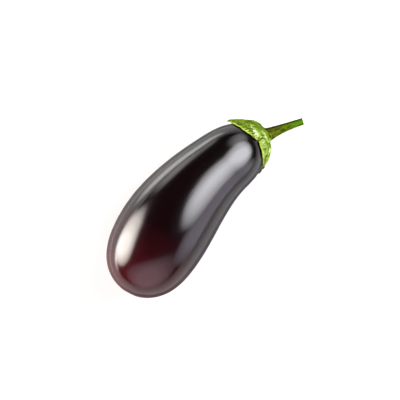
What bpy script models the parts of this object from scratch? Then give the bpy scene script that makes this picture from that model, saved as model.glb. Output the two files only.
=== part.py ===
"""One eggplant lying on its side: the fruit, the calyx that caps its shoulder, and the cut stem.

Metres, +Z up. The fruit's middle line is bent, and the bend lies almost level: the stem end
points along +X and dips a little, the hollow side of the bend faces -Y. The origin is on the
surface that the fruit lies on, under the middle of the bounding box. Azimuths are angles round
the middle line, 0 at the top (+Z) and 90 degrees on the hollow side of the bend.
"""

import math

import bmesh
import bpy
import numpy as np
from mathutils import Matrix, Vector

# Pieces that touch keep this much air between them
GAP = 0.0003

# The fruit, by distance along its middle line from the blossom end
FRUIT_LENGTH = 0.208
FAT_RADIUS = 0.0465
NECK_RADIUS = 0.0319
TAPER_START = 0.0675
TAPER_END = 0.1925
BLOSSOM_ROUNDING = 0.0785
BLOSSOM_POWER = 3.0
SHOULDER_ROUNDING = 0.044
SHOULDER_POWER = 2.5
FIRST_HEADING = math.radians(16.3)
BEND = math.radians(37.4)
SCAR_DEPTH = 0.0008
SCAR_RADIUS = 0.005
FRUIT_RINGS = 44
FRUIT_SIDES = 40

# The flat spot under the fruit's weight is made by laying it this deep into the surface
REST_DEPTH = 0.001

# The calyx: how thick it is at its crown, over the sepals and along their cut edge
CROWN_THICKNESS = 0.0076
CROWN_SPREAD = 0.019
SEPAL_THICKNESS = 0.0022
EDGE_THICKNESS = 0.0012
EDGE_LIFT = 0.0003
CROWN_HEIGHT = 0.0068
CROWN_RADIUS = 0.0066
CROWN_SHIFT = 0.0019
CROWN_SHIFT_SPREAD = 0.012
PUFF = 0.0008
NOTCH_REACH = 0.020
EDGE_WAVE = 0.0004
EDGE_WAVES = 23
POINT_LENGTH = 0.0020
POINT_SPREAD = math.radians(6)
CURL_SPREAD = math.radians(7)
OUTER_ROWS = 12
INNER_ROWS = 9
SPAN_COLUMNS = 16

# Each sepal: azimuth of its tip in degrees, reach of its blade over the shoulder from the stem,
# curl of the tip off the skin, and for each flank how many degrees it spreads and its power
# (above 1 the flank is full, below 1 it is drawn in)
SEPALS = [
    (-92, 0.037, 0.0020, (52, 0.9), (96, 1.7)),
    (-12, 0.0235, 0.0008, (16, 1.2), (16, 1.2)),
    (76, 0.030, 0.0012, (68, 0.65), (24, 1.0)),
    (114, 0.036, 0.0024, (32, 0.7), (46, 0.9)),
    (192, 0.036, 0.0020, (44, 0.9), (40, 0.9)),
]

# The stem, by distance from its foot on the crown
STEM_LENGTH = 0.0374
STEM_TIP_RADIUS = 0.0032
STEM_FOOT_FLARE = 0.0034
STEM_FLARE_LENGTH = 0.0145
STEM_BEND = math.radians(7.0)
STEM_RIDGES = 5
RIDGE_SHARE = 0.04
STEM_RINGS = 12
STEM_SIDES = 25

# Steps in the curves that the pieces are read from
LINE_STEPS = 2000
TURN = 2 * math.pi


def fruit_radius(station):
    """Radius of the fruit at a distance along its middle line."""
    taper = np.clip((station - TAPER_START) / (TAPER_END - TAPER_START), 0, 1)
    body = NECK_RADIUS + (FAT_RADIUS - NECK_RADIUS) * (1 + np.cos(np.pi * taper)) / 2
    blossom = np.clip(1 - station / BLOSSOM_ROUNDING, 0, 1)
    shoulder = np.clip((station - FRUIT_LENGTH) / SHOULDER_ROUNDING + 1, 0, 1)
    return body * np.sqrt((1 - blossom ** BLOSSOM_POWER) * (1 - shoulder ** SHOULDER_POWER))


def heading(station):
    """Direction of the middle line, from +X towards +Y."""
    return FIRST_HEADING - BEND * (station / FRUIT_LENGTH) ** 2


line_station = np.linspace(0, FRUIT_LENGTH, LINE_STEPS)
line_heading = heading((line_station[1:] + line_station[:-1]) / 2)
line_step = FRUIT_LENGTH / (LINE_STEPS - 1)
line_x = np.concatenate([[0], np.cumsum(np.cos(line_heading) * line_step)])
line_y = np.concatenate([[0], np.cumsum(np.sin(line_heading) * line_step)])


def line_point(station):
    """Point on the middle line, which runs on straight past the fruit's stem end."""
    beyond = max(station - FRUIT_LENGTH, 0)
    angle = heading(min(station, FRUIT_LENGTH))
    x = np.interp(station, line_station, line_x) + beyond * math.cos(angle)
    y = np.interp(station, line_station, line_y) + beyond * math.sin(angle)
    return Vector((x, y, 0)), angle


def round_point(station, radius, azimuth):
    """Point at a radius from the middle line, in the plane square to it."""
    centre, angle = line_point(station)
    hollow_side = Vector((math.sin(angle), -math.cos(angle), 0))
    return centre + radius * (math.cos(azimuth) * Vector((0, 0, 1)) + math.sin(azimuth) * hollow_side)


def cosine_steps(count):
    """Numbers from 0 to 1, close together at both ends."""
    return (1 - np.cos(np.linspace(0, np.pi, count + 1))) / 2


def closed_skin(first_pole, rings, last_pole, flips):
    """One closed body of triangles through rings of points. A ring's flip turns the diagonals
    of the band that leads to it."""
    mesh = bmesh.new()
    rows = [[mesh.verts.new(point) for point in ring] for ring in rings]
    first = mesh.verts.new(first_pole)
    last = mesh.verts.new(last_pole)
    count = len(rows[0])
    for j in range(count):
        k = (j + 1) % count
        mesh.faces.new((first, rows[0][k], rows[0][j]))
        mesh.faces.new((last, rows[-1][j], rows[-1][k]))
        for lower, upper, flip in zip(rows, rows[1:], flips[1:]):
            if flip:
                mesh.faces.new((lower[j], lower[k], upper[j]))
                mesh.faces.new((lower[k], upper[k], upper[j]))
            else:
                mesh.faces.new((lower[j], lower[k], upper[k]))
                mesh.faces.new((lower[j], upper[k], upper[j]))
    bmesh.ops.recalc_face_normals(mesh, faces=mesh.faces)
    return mesh


def make_fruit():
    """The skin is one smooth surface round the bent middle line, with a small blossom scar."""
    stations = FRUIT_LENGTH * cosine_steps(FRUIT_RINGS)
    rings = []
    for station in stations[1:-1]:
        radius = float(fruit_radius(station))
        scar = SCAR_DEPTH * math.exp(-(radius / SCAR_RADIUS) ** 2) if station < BLOSSOM_ROUNDING else 0
        azimuths = [TURN * j / FRUIT_SIDES for j in range(FRUIT_SIDES)]
        rings.append([round_point(station + scar, radius, azimuth) for azimuth in azimuths])
    blossom_end = line_point(SCAR_DEPTH)[0]
    stem_end = line_point(FRUIT_LENGTH)[0]
    return closed_skin(blossom_end, rings, stem_end, [False] * len(rings))


def shoulder_curve():
    """The fruit's outline from its stem end down over the shoulder: distance along the skin,
    station, radius, and the skin's outward direction along and away from the middle line."""
    station = FRUIT_LENGTH * cosine_steps(LINE_STEPS)[::-1]
    radius = fruit_radius(station)
    reach = np.concatenate([[0], np.cumsum(np.hypot(np.diff(station), np.diff(radius)))])
    slope_station = np.gradient(station, reach)
    slope_radius = np.gradient(radius, reach)
    return reach, station, radius, slope_radius, -slope_station


shoulder = shoulder_curve()


def off_skin(reach, azimuth, lift):
    """Point a little way off the fruit's skin, at a reach over the shoulder from the stem end.
    What stands high near the crown leans to the convex side of the bend, as the stem does."""
    station, radius, along, away = [float(np.interp(reach, shoulder[0], row)) for row in shoulder[1:]]
    lean = CROWN_SHIFT * math.exp(-(reach / CROWN_SHIFT_SPREAD) ** 2) * lift / CROWN_THICKNESS
    angle = line_point(station + lift * along)[1]
    convex_side = Vector((-math.sin(angle), math.cos(angle), 0))
    return round_point(station + lift * along, radius + lift * away, azimuth) + lean * convex_side


def sepal_reach(azimuth):
    """How far the calyx's cut edge reaches over the shoulder, all round."""
    most = 0
    for tip, reach, curl, before, after in SEPALS:
        away = (azimuth - math.radians(tip) + math.pi) % TURN - math.pi
        spread, power = after if away > 0 else before
        flank = 1 - min(math.degrees(abs(away)) / spread, 1) ** power
        point = POINT_LENGTH * math.exp(-abs(away) / POINT_SPREAD)
        most = max(most, (reach - NOTCH_REACH) * flank + point)
    wave = EDGE_WAVE * math.sin(EDGE_WAVES * azimuth)
    return NOTCH_REACH + most + wave * most / NOTCH_REACH


def tip_curl(azimuth, across):
    """Lift of the sepals off the skin: a little at the cut edge, most at the curled tips."""
    lift = EDGE_LIFT
    for tip, reach, curl, before, after in SEPALS:
        away = (azimuth - math.radians(tip) + math.pi) % TURN - math.pi
        lift += curl * math.exp(-(away / CURL_SPREAD) ** 2)
    return lift * across ** 5


def sepal_puff(azimuth, across):
    """Sepals swell along their middles and sink into furrows between them."""
    tips = [math.radians(sepal[0]) for sepal in SEPALS]
    nearest = min(abs((azimuth - tip + math.pi) % TURN - math.pi) for tip in tips)
    return PUFF * math.cos(len(SEPALS) * nearest) * math.sin(math.pi * across)


def calyx_thickness(reach, azimuth, across):
    """Thick and fleshy at the crown, leathery over the sepals, thin at the cut edge."""
    crown = math.exp(-(reach / CROWN_SPREAD) ** 2)
    full = SEPAL_THICKNESS + (CROWN_THICKNESS - SEPAL_THICKNESS) * crown
    thinned = EDGE_THICKNESS + (full - EDGE_THICKNESS) * (1 - across ** 4)
    return thinned + sepal_puff(azimuth, across)


def calyx_azimuths():
    """Azimuths of the calyx's columns: one on each tip, closer together towards the tips."""
    tips = [math.radians(sepal[0]) for sepal in SEPALS]
    azimuths = []
    for tip, following in zip(tips, tips[1:] + [tips[0] + TURN]):
        azimuths += [tip + (following - tip) * step for step in cosine_steps(SPAN_COLUMNS)[:-1]]
    return azimuths


def make_calyx():
    """A leathery cap: an outer skin from the stem's seat out to the cut edge of the sepals,
    and an inner one back over the fruit's shoulder."""
    azimuths = calyx_azimuths()
    edges = [sepal_reach(azimuth) for azimuth in azimuths]
    crown_station = FRUIT_LENGTH + CROWN_HEIGHT
    end_heading = heading(FRUIT_LENGTH)
    convex_side = Vector((-math.sin(end_heading), math.cos(end_heading), 0))
    seat_shift = CROWN_SHIFT * convex_side
    rings = [[round_point(crown_station, CROWN_RADIUS, azimuth) + seat_shift for azimuth in azimuths]]
    for row in range(OUTER_ROWS + 1):
        across = row / OUTER_ROWS
        ring = []
        for azimuth, edge in zip(azimuths, edges):
            reach = CROWN_RADIUS + (edge - CROWN_RADIUS) * across
            lift = GAP + tip_curl(azimuth, across) + calyx_thickness(reach, azimuth, across)
            ring.append(off_skin(reach, azimuth, lift))
        rings.append(ring)
    for row in range(INNER_ROWS, 0, -1):
        across = row / INNER_ROWS
        ring = []
        for azimuth, edge in zip(azimuths, edges):
            ring.append(off_skin(edge * across, azimuth, GAP + tip_curl(azimuth, across)))
        rings.append(ring)
    flips = [False] * (OUTER_ROWS + 3) + [True] * (INNER_ROWS - 1)
    seat = line_point(crown_station)[0] + seat_shift
    inside = line_point(FRUIT_LENGTH + GAP)[0]
    return closed_skin(seat, rings, inside, flips)


def make_stem():
    """The peduncle: broad at its foot, ridged lengthwise, a little bent, and cut off square."""
    angle = heading(FRUIT_LENGTH)
    convex_side = Vector((-math.sin(angle), math.cos(angle), 0))
    foot = line_point(FRUIT_LENGTH + CROWN_HEIGHT + GAP)[0] + CROWN_SHIFT * convex_side
    step = STEM_LENGTH / STEM_RINGS
    centre = foot
    rings = []
    for row in range(STEM_RINGS + 1):
        distance = row * step
        radius = STEM_TIP_RADIUS + STEM_FOOT_FLARE * math.exp(-distance / STEM_FLARE_LENGTH)
        away_side = Vector((math.sin(angle), -math.cos(angle), 0))
        ring = []
        for side in range(STEM_SIDES):
            azimuth = TURN * side / STEM_SIDES
            ridged = radius * (1 + RIDGE_SHARE * math.cos(STEM_RIDGES * azimuth))
            outward = math.cos(azimuth) * Vector((0, 0, 1)) + math.sin(azimuth) * away_side
            ring.append(centre + ridged * outward)
        rings.append(ring)
        if row < STEM_RINGS:
            angle = heading(FRUIT_LENGTH) - STEM_BEND * (distance + step) / STEM_LENGTH
            centre = centre + step * Vector((math.cos(angle), math.sin(angle), 0))
    return closed_skin(foot, rings, centre, [False] * len(rings))


def resting_pose():
    """Turns the level fruit so that the skin under its weight is level, and sets its height."""
    weight = fruit_radius(line_station) ** 2
    station = float((weight * line_station).sum() / weight.sum())
    slope = float((fruit_radius(station + line_step) - fruit_radius(station - line_step)) / (2 * line_step))
    dip = math.atan(-slope)
    centre, angle = line_point(station)
    hollow_side = Vector((math.sin(angle), -math.cos(angle), 0))
    turn = Matrix.Rotation(-dip, 4, hollow_side)
    height = float(fruit_radius(station)) * math.cos(dip) - REST_DEPTH
    return Matrix.Translation((0, 0, height)) @ turn @ Matrix.Translation(-centre)


def cut_flat_spot(mesh):
    """Takes off what would lie below the surface and closes the cut with one flat face."""
    parts = mesh.verts[:] + mesh.edges[:] + mesh.faces[:]
    cut = bmesh.ops.bisect_plane(
        mesh, geom=parts, plane_co=(0, 0, 0), plane_no=(0, 0, 1), clear_inner=True)
    for part in cut["geom_cut"]:
        if isinstance(part, bmesh.types.BMVert):
            part.co.z = 0
    bmesh.ops.dissolve_degenerate(mesh, dist=GAP / 10, edges=mesh.edges)
    rim = [edge for edge in mesh.edges if edge.is_boundary]
    bmesh.ops.edgeloop_fill(mesh, edges=rim)
    bmesh.ops.recalc_face_normals(mesh, faces=mesh.faces)


def paint(name, colour, roughness):
    """A material with one colour and finish."""
    material = bpy.data.materials.new(name)
    material.use_nodes = True
    shader = material.node_tree.nodes["Principled BSDF"]
    shader.inputs["Base Color"].default_value = (*colour, 1)
    shader.inputs["Roughness"].default_value = roughness
    shader.inputs["Metallic"].default_value = 0
    return material


def add_piece(name, mesh, material, sharp):
    """Makes a named object of a mesh, smooth where its faces meet gently."""
    data = bpy.data.meshes.new(name)
    mesh.to_mesh(data)
    mesh.free()
    data.materials.append(material)
    data.shade_smooth()
    data.set_sharp_from_angle(angle=math.radians(sharp))
    piece = bpy.data.objects.new(name, data)
    bpy.context.scene.collection.objects.link(piece)


for old in list(bpy.data.objects):
    bpy.data.objects.remove(old)

meshes = {"fruit": make_fruit(), "calyx": make_calyx(), "stem": make_stem()}
pose = resting_pose()
for mesh in meshes.values():
    mesh.transform(pose)
cut_flat_spot(meshes["fruit"])

points = [vert.co for mesh in meshes.values() for vert in mesh.verts]
middle_x = (min(p.x for p in points) + max(p.x for p in points)) / 2
middle_y = (min(p.y for p in points) + max(p.y for p in points)) / 2
for mesh in meshes.values():
    mesh.transform(Matrix.Translation((-middle_x, -middle_y, 0)))

add_piece("fruit", meshes["fruit"], paint("purple black skin", (0.012, 0.002, 0.008), 0.2), 40)
add_piece("calyx", meshes["calyx"], paint("green sepals", (0.25, 0.42, 0.02), 0.5), 50)
add_piece("stem", meshes["stem"], paint("green stem", (0.10, 0.24, 0.01), 0.5), 50)
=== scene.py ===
import math
import random

import bmesh
import bpy
import numpy as np
from mathutils import Matrix, Vector, noise


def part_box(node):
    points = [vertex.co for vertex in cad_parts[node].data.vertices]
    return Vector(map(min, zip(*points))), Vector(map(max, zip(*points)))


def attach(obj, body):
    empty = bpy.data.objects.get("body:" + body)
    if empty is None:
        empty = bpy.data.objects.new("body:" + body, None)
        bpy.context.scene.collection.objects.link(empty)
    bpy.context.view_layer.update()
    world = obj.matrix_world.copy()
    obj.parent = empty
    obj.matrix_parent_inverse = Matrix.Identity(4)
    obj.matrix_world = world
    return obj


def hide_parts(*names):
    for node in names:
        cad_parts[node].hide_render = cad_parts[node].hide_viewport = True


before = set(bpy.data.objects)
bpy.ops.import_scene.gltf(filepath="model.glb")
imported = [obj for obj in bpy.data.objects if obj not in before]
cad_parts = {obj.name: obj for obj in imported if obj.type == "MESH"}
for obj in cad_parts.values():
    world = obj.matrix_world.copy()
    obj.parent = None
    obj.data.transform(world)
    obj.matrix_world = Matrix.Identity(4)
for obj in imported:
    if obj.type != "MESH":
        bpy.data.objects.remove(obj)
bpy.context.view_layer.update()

# The fruit is one grown body: spongy white flesh under a thin, tight, purple-black skin.
# It is widest near its blossom end, tapers to a neck, and bends a little along its length.
# It lies on its side, and its own weight presses a small flat spot under the thick half.

FRUIT_LENGTH = 0.208
FAT_RADIUS = 0.0465
NECK_RADIUS = 0.0319
TAPER_START = 0.0675
TAPER_END = 0.1925
BLOSSOM_ROUNDING = 0.0785
BLOSSOM_POWER = 3.0
SHOULDER_ROUNDING = 0.044
SHOULDER_POWER = 2.5
FIRST_HEADING = math.radians(16.3)
BEND = math.radians(37.4)
SCAR_DEPTH = 0.0008
SCAR_RADIUS = 0.005
REST_DEPTH = 0.001
WOBBLE = 0.0004
FRUIT_RINGS = 241
FRUIT_SIDES = 192
TURN = 2 * math.pi


def fruit_radius(station):
    """Radius of the fruit at a distance along its middle line from the blossom end."""
    taper = np.clip((station - TAPER_START) / (TAPER_END - TAPER_START), 0, 1)
    body = NECK_RADIUS + (FAT_RADIUS - NECK_RADIUS) * (1 + np.cos(np.pi * taper)) / 2
    blossom = np.clip(1 - station / BLOSSOM_ROUNDING, 0, 1)
    shoulder = np.clip((station - FRUIT_LENGTH) / SHOULDER_ROUNDING + 1, 0, 1)
    return body * np.sqrt((1 - blossom ** BLOSSOM_POWER) * (1 - shoulder ** SHOULDER_POWER))


def heading(station):
    """Direction of the middle line, from +X towards +Y."""
    return FIRST_HEADING - BEND * (station / FRUIT_LENGTH) ** 2


def linear(hex_colour):
    """An sRGB colour such as #1a2b3c, as linear red, green, blue and alpha."""
    parts = [int(hex_colour[k:k + 2], 16) / 255 for k in (1, 3, 5)]
    return [p / 12.92 if p <= 0.04045 else ((p + 0.055) / 1.055) ** 2.4 for p in parts] + [1.0]


def add_node(tree, kind, links=(), **settings):
    """Adds a node with its settings. Links give inputs, by name or number, a value, socket or node."""
    node = tree.nodes.new(kind)
    for name, value in settings.items():
        setattr(node, name, value)
    for place, source in dict(links).items():
        if isinstance(source, bpy.types.Node):
            source = next(socket for socket in source.outputs if socket.enabled)
        if isinstance(source, bpy.types.NodeSocket):
            tree.links.new(source, node.inputs[place])
        else:
            node.inputs[place].default_value = source
    return node


def start_tree(name, sizes):
    """A Geometry Nodes tree with an input for each named size, and the sockets that give them."""
    kinds = {float: "NodeSocketFloat", int: "NodeSocketInt", bpy.types.Material: "NodeSocketMaterial"}
    tree = bpy.data.node_groups.new(name, "GeometryNodeTree")
    for size_name, size in sizes.items():
        tree.interface.new_socket(size_name, in_out="INPUT", socket_type=kinds[type(size)])
    tree.interface.new_socket("Geometry", in_out="OUTPUT", socket_type="NodeSocketGeometry")
    return tree, tree.nodes.new("NodeGroupInput").outputs


def grow(name, tree, sizes):
    """Runs a tree with these sizes and keeps its result as an object with a plain mesh."""
    piece = bpy.data.objects.new(name, bpy.data.meshes.new(name))
    bpy.context.scene.collection.objects.link(piece)
    modifier = piece.modifiers.new(name, "NODES")
    modifier.node_group = tree
    for item in tree.interface.items_tree:
        if item.in_out == "INPUT":
            modifier[item.identifier] = sizes[item.name]
    evaluated = piece.evaluated_get(bpy.context.evaluated_depsgraph_get())
    grown = bpy.data.meshes.new_from_object(evaluated)
    piece.modifiers.remove(modifier)
    piece.data = grown
    return piece


def start_material(name):
    """A new material, its node tree and its Principled shader."""
    material = bpy.data.materials.new(name)
    material.use_nodes = True
    return material, material.node_tree, material.node_tree.nodes["Principled BSDF"]


# Waxy eggplant skin: smooth and glossy with soft-edged reflections, nearly black from anthocyanin,
# more maroon and lighter towards the blossom end, partly where the purple layer is thinner and partly as a
# painted glow of light from below. A dry scar marks that end.
BLOSSOM_MAROON = "#33090f"
MIDDLE_MAROON = "#080102"
NECK_BLACK = "#040202"
SCAR_BROWN = "#4a3a2c"
SKIN_ROUGHNESS = 0.15
EDGE_ROUGHNESS = 0.9
LUMP_SIZE_MM = 3.0
RIPPLE_WIDE_MM = 2.2
RIPPLE_LONG_MM = 22.0

skin, tree, shader = start_material("waxy eggplant skin")
station = add_node(tree, "ShaderNodeAttribute", attribute_name="station").outputs["Fac"]
ring = add_node(tree, "ShaderNodeAttribute", attribute_name="ring").outputs["Fac"]
place = add_node(tree, "ShaderNodeTexCoord").outputs["Object"]
blotch = add_node(tree, "ShaderNodeTexNoise", {"Vector": place, "Scale": 25.0, "Detail": 2.0})
shifted = add_node(tree, "ShaderNodeMath", {0: blotch, 1: 0.05, 2: station}, operation="MULTIPLY_ADD")
along = add_node(tree, "ShaderNodeMapRange", {"Value": shifted, "From Min": 0.025, "From Max": 0.233})
# The maroon at the blossom end is partly the skin's own colour and partly a painted glow of light from below.
depth = add_node(tree, "ShaderNodeValToRGB", {"Fac": along})
depth.color_ramp.elements[0].color = linear(BLOSSOM_MAROON)
depth.color_ramp.elements[1].color = linear(NECK_BLACK)
depth.color_ramp.elements[1].position = 0.75
depth.color_ramp.elements.new(0.35).color = linear(MIDDLE_MAROON)
ragged = add_node(tree, "ShaderNodeTexNoise", {"Vector": place, "Scale": 900.0, "Detail": 3.0})
scar_edge = add_node(tree, "ShaderNodeMath", {0: ragged, 1: 0.003, 2: ring}, operation="MULTIPLY_ADD")
scarred = add_node(
    tree, "ShaderNodeMapRange", {"Value": scar_edge, "From Min": 0.0047, "From Max": 0.0036})
colour = add_node(
    tree, "ShaderNodeMix", {"Factor": scarred, 6: depth, 7: linear(SCAR_BROWN)}, data_type="RGBA")
tree.links.new(colour.outputs[2], shader.inputs["Base Color"])
grazing = add_node(tree, "ShaderNodeLayerWeight", {"Blend": 0.5}).outputs["Facing"]
bloom = add_node(tree, "ShaderNodeMapRange", {
    "Value": grazing, "From Min": 0.55, "From Max": 0.68, "To Min": SKIN_ROUGHNESS, "To Max": EDGE_ROUGHNESS})
rough = add_node(tree, "ShaderNodeMapRange", {"Value": scarred, "To Min": bloom, "To Max": 0.8})
tree.links.new(rough.outputs["Result"], shader.inputs["Roughness"])
lumps = add_node(tree, "ShaderNodeTexNoise", {"Vector": place, "Scale": 1000 / LUMP_SIZE_MM})
bump = add_node(tree, "ShaderNodeBump", {"Height": lumps, "Distance": 0.00003, "Strength": 0.3})
girth = add_node(tree, "ShaderNodeAttribute", attribute_name="girth").outputs["Vector"]
ripple_place = add_node(tree, "ShaderNodeMapping", {
    "Vector": girth, "Scale": [1000 * FAT_RADIUS / RIPPLE_WIDE_MM] * 3})
down = add_node(tree, "ShaderNodeCombineXYZ", {
    "Z": add_node(tree, "ShaderNodeMath", {0: station, 1: 1000 / RIPPLE_LONG_MM}, operation="MULTIPLY")})
ripple_place = add_node(tree, "ShaderNodeVectorMath", {0: ripple_place, 1: down}, operation="ADD")
ripples = add_node(tree, "ShaderNodeTexNoise", {"Vector": ripple_place, "Scale": 1.0, "Detail": 1.0})
bump = add_node(tree, "ShaderNodeBump", {
    "Height": ripples, "Distance": 0.00009, "Strength": 0.5, "Normal": bump.outputs["Normal"]})
tree.links.new(bump.outputs["Normal"], shader.inputs["Normal"])

# The rule of its shape: a bent middle line of evenly turning steps, and a radius at each station
fruit_sizes = {
    "Length": FRUIT_LENGTH,
    "Fat Radius": FAT_RADIUS,
    "Neck Radius": NECK_RADIUS,
    "Taper Start": TAPER_START,
    "Taper End": TAPER_END,
    "Blossom Rounding": BLOSSOM_ROUNDING,
    "Blossom Power": BLOSSOM_POWER,
    "Shoulder Rounding": SHOULDER_ROUNDING,
    "Shoulder Power": SHOULDER_POWER,
    "First Heading": FIRST_HEADING,
    "Bend": BEND,
    "Scar Depth": SCAR_DEPTH,
    "Scar Radius": SCAR_RADIUS,
    "Wobble": WOBBLE,
    "Rings": FRUIT_RINGS,
    "Sides": FRUIT_SIDES,
}
MATH = "ShaderNodeMath"
tree, given = start_tree("eggplant fruit", fruit_sizes)
line = add_node(tree, "GeometryNodeCurvePrimitiveLine", {"End": (1, 0, 0)})
line = add_node(tree, "GeometryNodeResampleCurve", {"Curve": line, "Count": given["Rings"]})
half_turn = add_node(
    tree, MATH, {0: add_node(tree, "GeometryNodeSplineParameter"), 1: math.pi}, operation="MULTIPLY")
cosine = add_node(tree, MATH, {0: half_turn}, operation="COSINE")
station = add_node(
    tree, "ShaderNodeMapRange", {"Value": cosine, "From Min": 1.0, "From Max": -1.0, "To Max": given["Length"]})
line = add_node(
    tree, "GeometryNodeStoreNamedAttribute", {"Geometry": line, "Name": "station", "Value": station})
station = add_node(tree, "GeometryNodeInputNamedAttribute", {"Name": "station"})

share = add_node(tree, MATH, {0: station, 1: given["Length"]}, operation="DIVIDE")
squared = add_node(tree, MATH, {0: share, 1: share}, operation="MULTIPLY")
turned = add_node(tree, MATH, {0: squared, 1: given["Bend"]}, operation="MULTIPLY")
angle = add_node(tree, MATH, {0: given["First Heading"], 1: turned}, operation="SUBTRACT")
direction = add_node(tree, "ShaderNodeCombineXYZ", {
    "X": add_node(tree, MATH, {0: angle}, operation="COSINE"),
    "Y": add_node(tree, MATH, {0: angle}, operation="SINE")})
step = add_node(
    tree, MATH, {0: add_node(tree, MATH, {0: half_turn}, operation="SINE"), 1: given["Length"]},
    operation="MULTIPLY")
step = add_node(tree, MATH, {0: step, 1: math.pi / 2}, operation="MULTIPLY")
gaps = add_node(tree, MATH, {0: given["Rings"], 1: 1.0}, operation="SUBTRACT")
step = add_node(tree, MATH, {0: step, 1: gaps}, operation="DIVIDE")
stride = add_node(tree, "ShaderNodeVectorMath", {0: direction, "Scale": step}, operation="SCALE")
walked = add_node(tree, "GeometryNodeAccumulateField", {"Value": stride}, data_type="FLOAT_VECTOR")
middle = add_node(
    tree, "ShaderNodeMix", {0: 0.5, 4: walked.outputs["Leading"], 5: walked.outputs["Trailing"]},
    data_type="VECTOR")
line = add_node(tree, "GeometryNodeSetPosition", {"Geometry": line, "Position": middle})
line = add_node(tree, "GeometryNodeSetCurveNormal", {"Curve": line}, mode="Z_UP")

taper = add_node(tree, "ShaderNodeMapRange", {
    "Value": station, "From Min": given["Taper Start"], "From Max": given["Taper End"], "To Max": math.pi})
body = add_node(tree, "ShaderNodeMapRange", {
    "Value": add_node(tree, MATH, {0: taper}, operation="COSINE"), "From Min": -1.0,
    "To Min": given["Neck Radius"], "To Max": given["Fat Radius"]})
blossom = add_node(tree, "ShaderNodeMapRange", {
    "Value": station, "From Max": given["Blossom Rounding"], "To Min": 1.0, "To Max": 0.0})
blossom = add_node(tree, MATH, {0: blossom, 1: given["Blossom Power"]}, operation="POWER")
shoulder_start = add_node(
    tree, MATH, {0: given["Length"], 1: given["Shoulder Rounding"]}, operation="SUBTRACT")
shoulder = add_node(tree, "ShaderNodeMapRange", {
    "Value": station, "From Min": shoulder_start, "From Max": given["Length"]})
shoulder = add_node(tree, MATH, {0: shoulder, 1: given["Shoulder Power"]}, operation="POWER")
ends = add_node(tree, MATH, {
    0: add_node(tree, MATH, {0: 1.0, 1: blossom}, operation="SUBTRACT"),
    1: add_node(tree, MATH, {0: 1.0, 1: shoulder}, operation="SUBTRACT")}, operation="MULTIPLY")
radius = add_node(
    tree, MATH, {0: add_node(tree, MATH, {0: ends}, operation="SQRT"), 1: body}, operation="MULTIPLY")

hoop = add_node(tree, "GeometryNodeCurvePrimitiveCircle", {"Resolution": given["Sides"], "Radius": 1.0})
hoop = add_node(tree, "GeometryNodeStoreNamedAttribute", {
    "Geometry": hoop, "Name": "girth", "Value": add_node(tree, "GeometryNodeInputPosition")},
    data_type="FLOAT_VECTOR")
hull = add_node(
    tree, "GeometryNodeCurveToMesh",
    {"Curve": line, "Profile Curve": hoop, "Scale": radius, "Fill Caps": False})
hull = add_node(
    tree, "GeometryNodeStoreNamedAttribute", {"Geometry": hull, "Name": "ring", "Value": radius})
hull = add_node(tree, "GeometryNodeMergeByDistance", {"Geometry": hull, "Distance": 0.000002})

ratio = add_node(tree, MATH, {0: radius, 1: given["Scar Radius"]}, operation="DIVIDE")
ratio = add_node(tree, MATH, {0: ratio, 1: 2.0}, operation="POWER")
sunk = add_node(
    tree, MATH, {0: math.e, 1: add_node(tree, MATH, {0: ratio, 1: -1.0}, operation="MULTIPLY")},
    operation="POWER")
sunk = add_node(tree, MATH, {0: sunk, 1: given["Scar Depth"]}, operation="MULTIPLY")
near_blossom = add_node(
    tree, "FunctionNodeCompare", {0: station, 1: given["Blossom Rounding"]}, operation="LESS_THAN")
inwards = add_node(tree, "ShaderNodeVectorMath", {0: direction, "Scale": sunk}, operation="SCALE")
hull = add_node(
    tree, "GeometryNodeSetPosition", {"Geometry": hull, "Selection": near_blossom, "Offset": inwards})

girth = add_node(
    tree, "GeometryNodeInputNamedAttribute", {"Name": "girth"}, data_type="FLOAT_VECTOR")
girth_part = add_node(tree, "ShaderNodeVectorMath", {0: girth, "Scale": 1.3}, operation="SCALE")
length_part = add_node(
    tree, "ShaderNodeCombineXYZ", {"Z": add_node(tree, MATH, {0: station, 1: 14.0}, operation="MULTIPLY")})
swell_place = add_node(tree, "ShaderNodeVectorMath", {0: girth_part, 1: length_part}, operation="ADD")
swell = add_node(
    tree, "ShaderNodeTexNoise", {"Vector": swell_place, "Scale": 1.0, "Detail": 1.0, "Roughness": 0.35})
swell = add_node(tree, "ShaderNodeMapRange", {"Value": swell, "To Min": -1.0, "To Max": 1.0})
swell = add_node(tree, MATH, {0: swell, 1: given["Wobble"]}, operation="MULTIPLY")
outward = add_node(
    tree, "ShaderNodeVectorMath", {0: add_node(tree, "GeometryNodeInputNormal"), "Scale": swell},
    operation="SCALE")
hull = add_node(tree, "GeometryNodeSetPosition", {"Geometry": hull, "Offset": outward})
hull = add_node(tree, "GeometryNodeSetShadeSmooth", {"Geometry": hull})
hull = add_node(tree, "GeometryNodeRealizeInstances", {"Geometry": hull})
hull = add_node(tree, "GeometryNodeSetMaterial", {"Geometry": hull, "Material": skin})
add_node(tree, "NodeGroupOutput", {"Geometry": hull})
fruit = grow("fruit_skin", tree, fruit_sizes)

# It lies with the skin under its weight level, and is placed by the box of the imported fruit
LINE_STEPS = 2000
line_station = np.linspace(0, FRUIT_LENGTH, LINE_STEPS)
line_step = FRUIT_LENGTH / (LINE_STEPS - 1)
line_heading = heading((line_station[1:] + line_station[:-1]) / 2)
line_x = np.concatenate([[0], np.cumsum(np.cos(line_heading) * line_step)])
line_y = np.concatenate([[0], np.cumsum(np.sin(line_heading) * line_step)])


def line_point(station):
    """Points on the middle line and its directions; it runs on straight past the stem end."""
    beyond = np.maximum(station - FRUIT_LENGTH, 0)
    angle = heading(np.minimum(station, FRUIT_LENGTH))
    x = np.interp(station, line_station, line_x) + beyond * np.cos(angle)
    y = np.interp(station, line_station, line_y) + beyond * np.sin(angle)
    return np.stack([x, y, np.zeros_like(x)], -1), angle


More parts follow.
